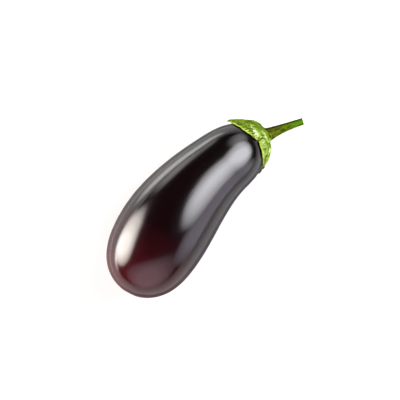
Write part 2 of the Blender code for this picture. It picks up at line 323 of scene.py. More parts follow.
weight = fruit_radius(line_station) ** 2
rest_station = float((weight * line_station).sum() / weight.sum())
dip = math.atan(-np.gradient(fruit_radius(line_station), line_step)[round(rest_station / line_step)])
rest_centre, rest_angle = line_point(rest_station)
hollow_side = Vector((math.sin(rest_angle), -math.cos(rest_angle), 0))
rest_height = float(fruit_radius(rest_station)) * math.cos(dip) - REST_DEPTH
pose = (Matrix.Translation((0, 0, rest_height)) @ Matrix.Rotation(-dip, 4, hollow_side)
        @ Matrix.Translation(-Vector(rest_centre)))
fruit.data.transform(pose)
corners = np.array([vertex.co for vertex in fruit.data.vertices])
box_low, box_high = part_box("fruit")
shift = (box_low + box_high) / 2 - Vector((corners.min(0) + corners.max(0)) / 2)
pose = Matrix.Translation((shift.x, shift.y, 0)) @ pose
fruit.data.transform(Matrix.Translation((shift.x, shift.y, 0)))
for vertex in fruit.data.vertices:
    vertex.co.z = max(vertex.co.z, 0)

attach(fruit, "root")
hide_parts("fruit")

# The calyx is the leathery green cap left from the flower, five pointed sepals grown together at the
# crown. It sits tight on the fruit's shoulder, and its cut-looking edges and dry points stand off it.

CAP_GAP = 0.0003
CROWN_THICKNESS = 0.0076
CROWN_SPREAD = 0.019
SEPAL_THICKNESS = 0.0022
EDGE_THICKNESS = 0.0011
EDGE_LIFT = 0.0005
CROWN_HEIGHT = 0.0068
CROWN_RADIUS = 0.0066
CROWN_SHIFT = 0.0019
CROWN_SHIFT_SPREAD = 0.012
PUFF = 0.0008
NOTCH_REACH = 0.020
EDGE_RAG = 0.0007
POINT_LENGTH = 0.0020
POINT_SPREAD = math.radians(6)
CURL_SPREAD = math.radians(7)
COLLAR = 0.0024
COLLAR_SPREAD = 0.0042
COLLAR_DIP = 0.0012
CAP_COLUMNS = 600
COLLAR_ROWS = 8
BLADE_ROWS = 64
RIM_ROWS = 5
INNER_ROWS = 24

# Each sepal: azimuth of its tip in degrees (0 on top, 90 on the hollow side of the bend), reach of
# its blade over the shoulder, curl of its tip, and for each flank its spread in degrees and power
SEPALS = [
    (-92, 0.037, 0.0020, (52, 0.9), (96, 1.7)),
    (-12, 0.0235, 0.0008, (16, 1.2), (16, 1.2)),
    (76, 0.030, 0.0012, (68, 0.65), (24, 1.0)),
    (114, 0.036, 0.0024, (32, 0.7), (46, 0.9)),
    (192, 0.036, 0.0020, (44, 0.9), (40, 0.9)),
]

# A short tear between two sepals, and the fold that runs from the crown's foot out to that tear
TEAR_AZIMUTH = math.radians(1)
TEAR_SPREAD = math.radians(1.7)
TEAR_LENGTH = 0.0046
FOLD_START = (math.radians(-26), 0.0176)
FOLD_END = (math.radians(70), 0.0075)
FOLD_HEIGHT = 0.0011
FOLD_WIDTH = 0.0010
TEAR_CREASE = 0.0007
RIB_HEIGHT = 0.0006
RIB_SPREAD = 0.0016

# Sizes of the relief: fine fibres down the sepals, puckers, and broad hollows between them
FIBRE_ROUND, FIBRE_LONG, FIBRE_HEIGHT = 0.0011, 0.006, 0.0002
PUCKER_ROUND, PUCKER_LONG, PUCKER_HEIGHT = 0.0036, 0.0062, 0.0007
HOLLOW_SIZE, HOLLOW_HEIGHT = 0.009, 0.0006
CAP_GIRTH = 0.024

# Where it is painted pale or dark: a patch of painted highlight by the tear, as azimuth, spread, reach and
# spread; one side painted lighter as painted light, and one side painted darker and duller as painted shade,
# each as azimuth and spread; and a paler band along the edge, as azimuth, spread and width
PAINTED_HIGHLIGHT_PATCH = (math.radians(-27), math.radians(22), 0.0215, 0.0042)
PAINTED_LIGHT_SIDE = (math.radians(62), math.radians(40))
PAINTED_SHADE_SIDE = (math.radians(-75), math.radians(45))
PALE_EDGE = (math.radians(-52), math.radians(26), 0.004)

skin_station = FRUIT_LENGTH * (1 + np.cos(np.linspace(0, np.pi, LINE_STEPS))) / 2
skin_radius = fruit_radius(skin_station)
skin_step = np.hypot(np.diff(skin_station), np.diff(skin_radius))
skin_reach = np.concatenate([[0], np.cumsum(skin_step)])
skin_along = np.gradient(skin_radius, skin_reach)
skin_away = -np.gradient(skin_station, skin_reach)


def off_skin(reach, azimuth, lift):
    """Points a little way off the skin, at a reach over the shoulder from the stem end. What stands
    high near the crown leans to the convex side of the bend, as the stem does."""
    station, radius, along, away = [
        np.interp(reach, skin_reach, row) for row in (skin_station, skin_radius, skin_along, skin_away)]
    centre, angle = line_point(station + lift * along)
    hollow = np.stack([np.sin(angle), -np.cos(angle), np.zeros_like(angle)], -1)
    outward = np.cos(azimuth)[..., None] * np.array([0, 0, 1]) + np.sin(azimuth)[..., None] * hollow
    lean = CROWN_SHIFT * np.exp(-(reach / CROWN_SHIFT_SPREAD) ** 2) * lift / CROWN_THICKNESS
    return centre + (radius + lift * away)[..., None] * outward - lean[..., None] * hollow


def turned_from(azimuth, tip):
    """Signed angle from a tip's azimuth, from minus half a turn to half a turn."""
    return (azimuth - tip + math.pi) % TURN - math.pi


def crinkle(azimuth, reach, grain_round, grain_long, shift):
    """Smooth noise from -1 to 1 over the cap, with the size of its grain round it and down it."""
    places = np.stack(np.broadcast_arrays(
        np.cos(azimuth) * CAP_GIRTH / grain_round, np.sin(azimuth) * CAP_GIRTH / grain_round,
        reach / grain_long + shift), -1)
    values = [noise.noise(place) for place in places.reshape(-1, 3).tolist()]
    return np.array(values).reshape(places.shape[:-1])


def sepal_reach(azimuth):
    """How far the calyx's edge reaches over the shoulder, all round."""
    most = np.zeros_like(azimuth)
    for tip, reach, curl, before, after in SEPALS:
        away = turned_from(azimuth, math.radians(tip))
        spread = np.where(away > 0, after[0], before[0])
        power = np.where(away > 0, after[1], before[1])
        flank = 1 - np.minimum(np.degrees(abs(away)) / spread, 1) ** power
        point = POINT_LENGTH * np.exp(-abs(away) / POINT_SPREAD)
        most = np.maximum(most, (reach - NOTCH_REACH) * flank + point)
    rag = crinkle(azimuth, 0, 0.0032, 1, 3.3) + 0.6 * crinkle(azimuth, 0, 0.0014, 1, 7.7)
    tear = TEAR_LENGTH * np.exp(-(turned_from(azimuth, TEAR_AZIMUTH) / TEAR_SPREAD) ** 2)
    return NOTCH_REACH + most + EDGE_RAG * rag - tear


def cap_lift(azimuth, across):
    """How far the inside of the calyx stands off the skin: most at the curled tips."""
    lift = EDGE_LIFT + 0.0004 * crinkle(azimuth, 0, 0.008, 1, 1.1)
    for tip, reach, curl, before, after in SEPALS:
        lift = lift + curl * np.exp(-(turned_from(azimuth, math.radians(tip)) / CURL_SPREAD) ** 2)
    return CAP_GAP + lift * across ** 5


def cap_thickness(reach, azimuth, across):
    """Thick and fleshy at the crown, leathery over the sepals, thin at the edge."""
    crown = np.exp(-(reach / CROWN_SPREAD) ** 2)
    full = SEPAL_THICKNESS + (CROWN_THICKNESS - SEPAL_THICKNESS) * crown
    tips = [math.radians(sepal[0]) for sepal in SEPALS]
    nearest = np.min([abs(turned_from(azimuth, tip)) for tip in tips], axis=0)
    puff = PUFF * np.cos(len(SEPALS) * nearest) * np.sin(np.pi * across)
    return EDGE_THICKNESS + (full - EDGE_THICKNESS) * (1 - across ** 4) + puff


def cap_relief(azimuth, reach):
    """Height of the folds, puckers and fibres on the outside of the calyx."""
    bent = azimuth + 0.10 * crinkle(azimuth, reach, 0.012, 0.009, 5.0)
    fibres = FIBRE_HEIGHT * crinkle(bent, reach, FIBRE_ROUND, FIBRE_LONG, 0.5)
    puckers = PUCKER_HEIGHT * (0.45 - 2 * abs(crinkle(bent, reach, PUCKER_ROUND, PUCKER_LONG, 2.5)))
    hollows = HOLLOW_HEIGHT * crinkle(azimuth, reach, HOLLOW_SIZE, HOLLOW_SIZE, 9.5)
    share = np.clip((azimuth - FOLD_START[0]) / (FOLD_END[0] - FOLD_START[0]), 0, 1)
    fold_reach = FOLD_START[1] + (FOLD_END[1] - FOLD_START[1]) * share ** 0.8
    past = (reach - fold_reach) / FOLD_WIDTH
    on_fold = np.exp(-np.where(past > 0, 2 * past, past / 2) ** 2) - 0.6 * np.exp(-(2 * past - 3) ** 2)
    on_fold = on_fold * np.sin(np.pi * share) ** 0.5
    tear_side = reach * turned_from(azimuth, TEAR_AZIMUTH)
    crease = np.exp(-(tear_side / 0.0006) ** 2) * np.clip((reach - 0.013) / 0.004, 0, 1)
    ribs = 0
    for tip, tip_reach, curl, before, after in SEPALS:
        aside = reach * turned_from(azimuth, math.radians(tip))
        ribs = ribs + np.exp(-(aside / RIB_SPREAD) ** 2) * np.clip(1.2 - reach / tip_reach, 0, 1)
    folds = FOLD_HEIGHT * on_fold - TEAR_CREASE * crease
    return fibres + puckers + hollows + RIB_HEIGHT * ribs + folds


columns = (TURN * np.arange(CAP_COLUMNS) / CAP_COLUMNS + math.pi) % TURN - math.pi
edge = sepal_reach(columns)
half_rim = EDGE_THICKNESS / 2
blade_start = CROWN_RADIUS + COLLAR_SPREAD
rings, reaches = [], []

# From the collar round the stem's foot, over the crown and the sepals, to the edge
end_heading = float(heading(FRUIT_LENGTH))
convex_side = np.array([-math.sin(end_heading), math.cos(end_heading), 0])


def cap_ring(reach, side, bulge):
    """One ring of the calyx: side 1 is its outside and -1 its inside; bulge is below 1 at the rim."""
    across = np.clip((reach - CROWN_RADIUS) / (edge - CROWN_RADIUS), 0, 1) if side > 0 else reach / edge
    inside = cap_lift(columns, across)
    thickness = cap_thickness(reach, columns, across)
    relief = cap_relief(columns, reach) * bulge * np.clip((edge - reach) / 0.002, 0.3, 1)
    middle = inside + thickness / 2
    lift = middle + (thickness / 2 * bulge + relief if side > 0 else -thickness / 2 * bulge)
    return off_skin(reach, columns, lift)


foot_station = FRUIT_LENGTH + CROWN_HEIGHT
foot_centre = line_point(foot_station)[0] + CROWN_SHIFT * convex_side
foot_outward = (np.cos(columns)[:, None] * np.array([0, 0, 1]) - np.sin(columns)[:, None] * convex_side)
stem_way = np.array([math.cos(end_heading), math.sin(end_heading), 0])
blade_first = cap_ring(np.full(CAP_COLUMNS, blade_start), 1, 1.0)
collar_top = foot_centre + COLLAR * stem_way + (CROWN_RADIUS - 0.0007) * foot_outward
corner = foot_centre - COLLAR_DIP * stem_way + CROWN_RADIUS * foot_outward
for row in range(COLLAR_ROWS):
    share = row / COLLAR_ROWS
    rings.append((1 - share) ** 2 * collar_top + 2 * share * (1 - share) * corner + share ** 2 * blade_first)
    reaches.append(np.full(CAP_COLUMNS, CROWN_RADIUS + COLLAR_SPREAD * share))
for share in np.linspace(0, 1, BLADE_ROWS):
    reach = blade_start + (edge - half_rim - blade_start) * share
    rings.append(cap_ring(reach, 1, 1.0))
    reaches.append(reach)
for row in range(RIM_ROWS - 1, -RIM_ROWS, -1):
    lean = math.pi / 2 * row / RIM_ROWS
    reach = edge - half_rim * (1 - math.cos(lean))
    rings.append(cap_ring(reach, 1 if row >= 0 else -1, abs(math.sin(lean))))
    reaches.append(reach)
for share in np.linspace(1, 0.03, INNER_ROWS):
    reach = (edge - half_rim) * share
    rings.append(cap_ring(reach, -1, 1.0))
    reaches.append(reach)

sheet = bmesh.new()
tone = {name: sheet.verts.layers.float.new(name) for name in ("relief", "rim", "dry", "crown", "pale_and_painted_light")}
cap_map = sheet.verts.layers.float_vector.new("cap_map")
tips = [math.radians(sepal[0]) for sepal in SEPALS]
tip_away = np.min([abs(turned_from(columns, tip)) for tip in tips], axis=0)
rows = []
for ring, reach in zip(rings, reaches):
    relief = cap_relief(columns, reach) / (PUCKER_HEIGHT + FIBRE_HEIGHT)
    rim = np.exp(-((edge - reach) / 0.0007) ** 2)
    past = np.clip((reach - NOTCH_REACH) / (0.029 - NOTCH_REACH), 0, 1)
    dry = np.exp(-(tip_away / math.radians(7)) ** 2) * np.exp(-((edge - reach) / 0.0042) ** 2) * past
    crown = np.exp(-((reach - CROWN_RADIUS) / 0.007) ** 2)
    # One side is added to the crown value as painted shade: its colour there is darker and duller.
    crown = crown + 0.6 * np.exp(-(turned_from(columns, PAINTED_SHADE_SIDE[0]) / PAINTED_SHADE_SIDE[1]) ** 2)
    # A patch of painted highlight, a side of painted light, and a plainly paler band along one edge.
    pale_and_painted_light = np.exp(-(turned_from(columns, PAINTED_HIGHLIGHT_PATCH[0]) / PAINTED_HIGHLIGHT_PATCH[1]) ** 2)
    pale_and_painted_light = pale_and_painted_light * np.exp(-((reach - PAINTED_HIGHLIGHT_PATCH[2]) / PAINTED_HIGHLIGHT_PATCH[3]) ** 2)
    pale_and_painted_light = pale_and_painted_light + 0.46 * np.exp(-(turned_from(columns, PAINTED_LIGHT_SIDE[0]) / PAINTED_LIGHT_SIDE[1]) ** 2)
    pale_edge_band = np.exp(-(turned_from(columns, PALE_EDGE[0]) / PALE_EDGE[1]) ** 2)
    pale_and_painted_light = pale_and_painted_light + 0.7 * pale_edge_band * np.exp(-((edge - reach) / PALE_EDGE[2]) ** 2)
    row = []
    for k, point in enumerate(ring):
        vertex = sheet.verts.new(point)
        vertex[tone["relief"]] = relief[k]
        vertex[tone["rim"]] = rim[k]
        vertex[tone["dry"]] = dry[k]
        vertex[tone["crown"]] = crown[k]
        vertex[tone["pale_and_painted_light"]] = pale_and_painted_light[k]
        vertex[cap_map] = (
            math.cos(columns[k]) * CAP_GIRTH, math.sin(columns[k]) * CAP_GIRTH, reach[k])
        row.append(vertex)
    rows.append(row)
seat = sheet.verts.new(foot_centre + COLLAR * stem_way)
inner_pole = sheet.verts.new(line_point(FRUIT_LENGTH + CAP_GAP)[0])
for j in range(CAP_COLUMNS):
    k = (j + 1) % CAP_COLUMNS
    sheet.faces.new((seat, rows[0][k], rows[0][j]))
    sheet.faces.new((inner_pole, rows[-1][j], rows[-1][k]))
    for lower, upper in zip(rows, rows[1:]):
        sheet.faces.new((lower[j], lower[k], upper[k], upper[j]))
bmesh.ops.recalc_face_normals(sheet, faces=sheet.faces)
calyx = bpy.data.objects.new("calyx_cap", bpy.data.meshes.new("calyx_cap"))
sheet.to_mesh(calyx.data)
sheet.free()
calyx.data.shade_smooth()
calyx.data.transform(pose)
bpy.context.scene.collection.objects.link(calyx)

# Fresh calyx: tough leaf tissue, half matt and half waxy, with a random mottle of greens. Its raised relief is
# painted lighter and its creases darker olive, as painted light and shade; pale streaks are painted highlights
# and painted light, plus a plain paler band; a yellow-green edge and dry brown points.
SHADED_CREASE_OLIVE = "#232a03"
BLADE_GREEN = "#465a0a"
FRESH_GREEN = "#5d7517"
PALE_AND_PAINTED_LIGHT_GREEN = "#abaf8e"
EDGE_GREEN = "#76892a"
DRY_BROWN = "#120c05"
FIBRE_MM = 0.7

cap_skin, tree, shader = start_material("fresh calyx")
spread_out = add_node(tree, "ShaderNodeAttribute", attribute_name="cap_map").outputs["Vector"]
mottle_place = add_node(tree, "ShaderNodeMapping", {"Vector": spread_out, "Scale": (480, 480, 300)})
mottle = add_node(tree, "ShaderNodeTexNoise", {
    "Vector": mottle_place, "Scale": 1.0, "Detail": 5.0, "Roughness": 0.68, "Distortion": 0.8})
fibre_place = add_node(tree, "ShaderNodeMapping", {
    "Vector": spread_out, "Scale": (1000 / FIBRE_MM, 1000 / FIBRE_MM, 170)})
fibre = add_node(tree, "ShaderNodeTexNoise", {
    "Vector": fibre_place, "Scale": 1.0, "Detail": 3.0, "Roughness": 0.6, "Distortion": 0.8})
height = add_node(tree, "ShaderNodeAttribute", attribute_name="relief").outputs["Fac"]
# Raised relief is painted lighter and creases darker: painted light and shade laid over the random mottle.
tint = add_node(tree, "ShaderNodeMath", {0: height, 1: 0.12, 2: mottle}, operation="MULTIPLY_ADD")
tint = add_node(tree, "ShaderNodeMath", {
    0: add_node(tree, "ShaderNodeMath", {0: fibre, 1: -0.5}, operation="ADD"), 1: 0.35, 2: tint},
    operation="MULTIPLY_ADD")
# The crown value calms the colour towards darker olive and takes the wax off, near the crown and as painted
# shade on one side.
crown = add_node(tree, "ShaderNodeAttribute", attribute_name="crown").outputs["Fac"]
above = add_node(tree, "ShaderNodeMath", {0: tint, 1: -0.44}, operation="ADD")
calm = add_node(tree, "ShaderNodeMath", {0: crown, 1: -0.6}, operation="MULTIPLY")
tint = add_node(tree, "ShaderNodeMath", {0: above, 1: calm, 2: tint}, operation="MULTIPLY_ADD")
# Pale streaks along the fibres: painted highlights and painted light, and a plain paler band along an edge.
pale_and_painted_light = add_node(tree, "ShaderNodeAttribute", attribute_name="pale_and_painted_light").outputs["Fac"]
pale_streaks = add_node(tree, "ShaderNodeMapRange", {"Value": fibre, "From Min": 0.42, "From Max": 0.62})
pale_streaks = add_node(tree, "ShaderNodeMath", {0: pale_streaks, 1: pale_and_painted_light}, operation="MULTIPLY")
tint = add_node(tree, "ShaderNodeMath", {0: pale_streaks, 1: 0.17, 2: tint}, operation="MULTIPLY_ADD")
greens = add_node(tree, "ShaderNodeValToRGB", {"Fac": tint})
greens.color_ramp.elements[0].color = linear(SHADED_CREASE_OLIVE)
greens.color_ramp.elements[0].position = 0.40
greens.color_ramp.elements[1].color = linear(PALE_AND_PAINTED_LIGHT_GREEN)
greens.color_ramp.elements[1].position = 0.70
greens.color_ramp.elements.new(0.49).color = linear(BLADE_GREEN)
greens.color_ramp.elements.new(0.58).color = linear(FRESH_GREEN)
rim = add_node(tree, "ShaderNodeAttribute", attribute_name="rim").outputs["Fac"]
edged = add_node(
    tree, "ShaderNodeMix", {"Factor": rim, 6: greens, 7: linear(EDGE_GREEN)}, data_type="RGBA").outputs[2]
dry = add_node(tree, "ShaderNodeAttribute", attribute_name="dry").outputs["Fac"]
dried = add_node(
    tree, "ShaderNodeMix", {"Factor": dry, 6: edged, 7: linear(DRY_BROWN)}, data_type="RGBA").outputs[2]
tree.links.new(dried, shader.inputs["Base Color"])
wax = add_node(tree, "ShaderNodeMapRange", {
    "Value": tint, "From Min": 0.53, "From Max": 0.66, "To Max": 0.6})
bare = add_node(tree, "ShaderNodeMapRange", {"Value": crown, "From Max": 0.6, "To Min": 1.0, "To Max": 0.0})
waxed = add_node(tree, "ShaderNodeMath", {0: wax, 1: bare}, operation="MULTIPLY")
tree.links.new(waxed.outputs["Value"], shader.inputs["Coat Weight"])
shader.inputs["Coat Roughness"].default_value = 0.36
shader.inputs["Roughness"].default_value = 0.75
shader.inputs["Specular IOR Level"].default_value = 0.03
bump = add_node(tree, "ShaderNodeBump", {"Height": tint, "Distance": 0.0011, "Strength": 0.5})
tree.links.new(bump.outputs["Normal"], shader.inputs["Normal"])
calyx.data.materials.append(cap_skin)
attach(calyx, "root")
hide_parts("calyx")

# The stem is the woody green stalk that the fruit hung from. It grows out of the calyx's crown with
# a flared foot, is ridged lengthwise, bends a little, and was cut off square.

STEM_LENGTH = 0.0374
STEM_SUNK = 0.0035
STEM_TIP_RADIUS = 0.0032
STEM_FOOT_FLARE = 0.0039
STEM_FLARE_LENGTH = 0.0145
STEM_BEND = math.radians(7.0)
STEM_RIDGES = 5.0
RIDGE_SHARE = 0.05
GROOVE_SHARE = 0.09
STEM_RINGS = 120
STEM_SIDES = 120

# Green stalk bark: smooth and slightly waxy, saturated green at the cut and browner towards the
# foot, with corky brown streaks that run lengthwise, as fine as half a millimetre, and a dark brown line of
# painted shade down its upper side.
TIP_GREEN = "#2f4d02"
STALK_GREEN = "#364803"
FOOT_OLIVE = "#46500c"
CORK_AND_SHADE_BROWN = "#1a1403"
BLOTCH_WIDE_MM = 2.2
BLOTCH_LONG_MM = 4.5
MIDDLE_RADIUS_MM = 5.0

bark, tree, shader = start_material("green stalk bark")
along = add_node(tree, "ShaderNodeAttribute", attribute_name="along").outputs["Fac"]
girth = add_node(tree, "ShaderNodeAttribute", attribute_name="girth").outputs["Vector"]
streak_place = add_node(tree, "ShaderNodeMapping", {
    "Vector": girth, "Scale": [MIDDLE_RADIUS_MM / BLOTCH_WIDE_MM] * 3})
down = add_node(tree, "ShaderNodeCombineXYZ", {
    "Z": add_node(tree, "ShaderNodeMath", {0: along, 1: 1000 / BLOTCH_LONG_MM}, operation="MULTIPLY")})
streak_place = add_node(tree, "ShaderNodeVectorMath", {0: streak_place, 1: down}, operation="ADD")
streak = add_node(tree, "ShaderNodeTexNoise", {
    "Vector": streak_place, "Scale": 1.0, "Detail": 4.0, "Roughness": 0.72, "Distortion": 0.8})
share = add_node(tree, "ShaderNodeMapRange", {"Value": along, "From Max": STEM_LENGTH})
share = add_node(tree, "ShaderNodeMath", {
    0: add_node(tree, "ShaderNodeMath", {0: streak, 1: -0.5}, operation="ADD"), 1: 0.5, 2: share},
    operation="MULTIPLY_ADD")
barks = add_node(tree, "ShaderNodeValToRGB", {"Fac": share})
barks.color_ramp.elements[0].color = linear(FOOT_OLIVE)
barks.color_ramp.elements[0].position = 0.15
barks.color_ramp.elements[1].color = linear(TIP_GREEN)
barks.color_ramp.elements[1].position = 0.8
barks.color_ramp.elements.new(0.5).color = linear(STALK_GREEN)
cork_and_painted_shade = add_node(tree, "ShaderNodeMath", {0: share, 1: 0.16, 2: streak}, operation="MULTIPLY_ADD")
cork_and_painted_shade = add_node(tree, "ShaderNodeMapRange", {
    "Value": cork_and_painted_shade, "From Min": 0.58, "From Max": 0.47, "To Max": 0.88})
# Painted shade: the stalk's upper side is painted dark brown along its whole length, mixed in with the cork.
upper = add_node(tree, "ShaderNodeSeparateXYZ", {"Vector": girth}).outputs["X"]
upper = add_node(tree, "ShaderNodeMapRange", {
    "Value": upper, "From Min": -0.3, "From Max": -0.65, "To Max": 0.95})
cork_and_painted_shade = add_node(tree, "ShaderNodeMath", {0: cork_and_painted_shade, 1: upper}, operation="MAXIMUM")
barked = add_node(
    tree, "ShaderNodeMix", {"Factor": cork_and_painted_shade, 6: barks, 7: linear(CORK_AND_SHADE_BROWN)}, data_type="RGBA").outputs[2]
tree.links.new(barked, shader.inputs["Base Color"])
gloss = add_node(tree, "ShaderNodeMapRange", {"Value": streak, "To Min": 0.8, "To Max": 0.4})
tree.links.new(gloss.outputs["Result"], shader.inputs["Roughness"])
shader.inputs["Specular IOR Level"].default_value = 0.01
bump = add_node(tree, "ShaderNodeBump", {"Height": streak, "Distance": 0.0004, "Strength": 0.5})
tree.links.new(bump.outputs["Normal"], shader.inputs["Normal"])

stem_sizes = {
    "Length": STEM_LENGTH,
    "Sunk": STEM_SUNK,
    "Tip Radius": STEM_TIP_RADIUS,
    "Foot Flare": STEM_FOOT_FLARE,
    "Flare Length": STEM_FLARE_LENGTH,
    "Bend": STEM_BEND,
    "Ridges": STEM_RIDGES,
    "Ridge Share": RIDGE_SHARE,
    "Groove Share": GROOVE_SHARE,
    "Rings": STEM_RINGS,
    "Sides": STEM_SIDES,
}
tree, given = start_tree("eggplant stem", stem_sizes)
line = add_node(tree, "GeometryNodeCurvePrimitiveLine", {"End": (1, 0, 0)})
line = add_node(tree, "GeometryNodeResampleCurve", {"Curve": line, "Count": given["Rings"]})
first = add_node(tree, MATH, {0: given["Sunk"], 1: -1.0}, operation="MULTIPLY")
distance = add_node(tree, "ShaderNodeMapRange", {
    "Value": add_node(tree, "GeometryNodeSplineParameter"), "To Min": first, "To Max": given["Length"]})
line = add_node(
    tree, "GeometryNodeStoreNamedAttribute", {"Geometry": line, "Name": "along", "Value": distance})
along = add_node(tree, "GeometryNodeInputNamedAttribute", {"Name": "along"})
share = add_node(tree, MATH, {0: along, 1: given["Length"]}, operation="DIVIDE")
angle = add_node(tree, MATH, {
    0: share, 1: add_node(tree, MATH, {0: given["Bend"], 1: -1.0}, operation="MULTIPLY")},
    operation="MULTIPLY")
direction = add_node(tree, "ShaderNodeCombineXYZ", {
    "X": add_node(tree, MATH, {0: angle}, operation="COSINE"),
    "Y": add_node(tree, MATH, {0: angle}, operation="SINE")})
whole = add_node(tree, MATH, {0: given["Length"], 1: given["Sunk"]}, operation="ADD")
gaps = add_node(tree, MATH, {0: given["Rings"], 1: 1.0}, operation="SUBTRACT")
step = add_node(tree, MATH, {0: whole, 1: gaps}, operation="DIVIDE")
stride = add_node(tree, "ShaderNodeVectorMath", {0: direction, "Scale": step}, operation="SCALE")
walked = add_node(tree, "GeometryNodeAccumulateField", {"Value": stride}, data_type="FLOAT_VECTOR")
start = add_node(tree, "ShaderNodeCombineXYZ", {"X": first})
core = add_node(
    tree, "ShaderNodeVectorMath", {0: walked.outputs["Trailing"], 1: start}, operation="ADD")
line = add_node(tree, "GeometryNodeSetPosition", {"Geometry": line, "Position": core})
line = add_node(tree, "GeometryNodeSetCurveNormal", {"Curve": line}, mode="Z_UP")
line = add_node(tree, "GeometryNodeStoreNamedAttribute", {
    "Geometry": line, "Name": "core", "Value": add_node(tree, "GeometryNodeInputPosition")},
    data_type="FLOAT_VECTOR")
narrowing = add_node(tree, MATH, {0: along, 1: given["Flare Length"]}, operation="DIVIDE")
narrowing = add_node(tree, MATH, {0: narrowing, 1: -1.0}, operation="MULTIPLY")
narrowing = add_node(tree, MATH, {0: math.e, 1: narrowing}, operation="POWER")
radius = add_node(
    tree, MATH, {0: narrowing, 1: given["Foot Flare"], 2: given["Tip Radius"]}, operation="MULTIPLY_ADD")
hoop = add_node(tree, "GeometryNodeCurvePrimitiveCircle", {"Resolution": given["Sides"], "Radius": 1.0})
hoop = add_node(tree, "GeometryNodeStoreNamedAttribute", {
    "Geometry": hoop, "Name": "girth", "Value": add_node(tree, "GeometryNodeInputPosition")},
    data_type="FLOAT_VECTOR")
stalk = add_node(
    tree, "GeometryNodeCurveToMesh",
    {"Curve": line, "Profile Curve": hoop, "Scale": radius, "Fill Caps": True})
girth = add_node(
    tree, "GeometryNodeInputNamedAttribute", {"Name": "girth"}, data_type="FLOAT_VECTOR")
sides = add_node(tree, "ShaderNodeSeparateXYZ", {"Vector": girth})
turn = add_node(tree, MATH, {0: sides.outputs["Y"], 1: sides.outputs["X"]}, operation="ARCTAN2")
turn = add_node(tree, MATH, {0: turn, 1: given["Ridges"]}, operation="MULTIPLY")
ridge = add_node(tree, MATH, {
    0: add_node(tree, MATH, {0: turn}, operation="COSINE"), 1: given["Ridge Share"]},
    operation="MULTIPLY")
down = add_node(tree, "ShaderNodeCombineXYZ", {
    "Z": add_node(tree, MATH, {0: along, 1: 110.0}, operation="MULTIPLY")})
groove_place = add_node(
    tree, "ShaderNodeVectorMath",
    {0: add_node(tree, "ShaderNodeVectorMath", {0: girth, "Scale": 3.0}, operation="SCALE"), 1: down},
    operation="ADD")
groove = add_node(
    tree, "ShaderNodeTexNoise", {"Vector": groove_place, "Scale": 1.0, "Detail": 2.0, "Roughness": 0.5})
groove = add_node(tree, MATH, {0: groove, 1: -0.5}, operation="ADD")
ridge = add_node(
    tree, MATH, {0: groove, 1: given["Groove Share"], 2: ridge}, operation="MULTIPLY_ADD")
outward = add_node(tree, "ShaderNodeVectorMath", {
    0: add_node(tree, "GeometryNodeInputPosition"),
    1: add_node(tree, "GeometryNodeInputNamedAttribute", {"Name": "core"}, data_type="FLOAT_VECTOR")},
    operation="SUBTRACT")
outward = add_node(tree, "ShaderNodeVectorMath", {0: outward, "Scale": ridge}, operation="SCALE")
stalk = add_node(tree, "GeometryNodeSetPosition", {"Geometry": stalk, "Offset": outward})
stalk = add_node(tree, "GeometryNodeSetShadeSmooth", {"Geometry": stalk})
stalk = add_node(tree, "GeometryNodeRealizeInstances", {"Geometry": stalk})
stalk = add_node(tree, "GeometryNodeSetMaterial", {"Geometry": stalk, "Material": bark})
add_node(tree, "NodeGroupOutput", {"Geometry": stalk})
stem = grow("stem_stalk", tree, stem_sizes)
stem.data.set_sharp_from_angle(angle=math.radians(50))
stem_place = pose @ Matrix.Translation(foot_centre) @ Matrix.Rotation(end_heading, 4, "Z")
stem.data.transform(stem_place)
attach(stem, "root")
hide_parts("stem")

# The cut face is where the knife went through the stalk: a green rim of bark, a pale ring of wood
# fibres that tore a little, and a duller, slightly sunken pith.
CUT_RADIUS = 0.0031
WOOD_START = 0.45
WOOD_END = 0.86
CUT_RELIEF = 0.00018
PITH_DEPTH = 0.0003
CUT_RINGS = 14
CUT_SIDES = 72
TORN_FIBRES = 26
TORN_LENGTH = 0.0019
TORN_WIDTH = 0.0003

face = bmesh.new()
hub = face.verts.new((-PITH_DEPTH, 0, 0))
rows = []
for ring_number in range(1, CUT_RINGS + 1):
    share = ring_number / CUT_RINGS
    row = []
    for side in range(CUT_SIDES):
        turn = TURN * side / CUT_SIDES
        y, z = math.cos(turn) * share * CUT_RADIUS, math.sin(turn) * share * CUT_RADIUS
        torn = CUT_RELIEF * noise.noise((y * 2500, z * 2500, 0.5))
        height = torn - PITH_DEPTH * (1 - share ** 2) + 0.0002 * math.sin(math.pi * min(share, 1))
        row.append(face.verts.new((height if ring_number < CUT_RINGS else -0.0003, y, z)))
    rows.append(row)
for j in range(CUT_SIDES):
    k = (j + 1) % CUT_SIDES
    face.faces.new((hub, rows[0][j], rows[0][k]))
    for lower, upper in zip(rows, rows[1:]):
        face.faces.new((lower[j], upper[j], upper[k], lower[k]))
torn_fibres = random.Random(11)
for fibre_number in range(TORN_FIBRES):
    turn = TURN * torn_fibres.random()
    share = torn_fibres.uniform(0.45, 0.95) * CUT_RADIUS
    root = Vector((-0.0003, math.cos(turn) * share, math.sin(turn) * share))
    lean = Vector((1, torn_fibres.uniform(-0.5, 0.5), torn_fibres.uniform(-0.5, 0.5)))
    tip = root + torn_fibres.uniform(0.5, 1.0) * TORN_LENGTH * lean
    foot = [face.verts.new(root + TORN_WIDTH * Vector((0, math.cos(side), math.sin(side))))
            for side in (0, TURN / 3, 2 * TURN / 3)]
    end = face.verts.new(tip)
    face.faces.new(foot[::-1])
    for k in range(3):
        face.faces.new((foot[k], foot[(k + 1) % 3], end))
cut_face = bpy.data.objects.new("stem_cut_face", bpy.data.meshes.new("stem_cut_face"))
face.to_mesh(cut_face.data)
face.free()
cut_face.data.shade_smooth()
tip_distance = np.linspace(0, STEM_LENGTH, 200)
tip_angle = -STEM_BEND * tip_distance / STEM_LENGTH
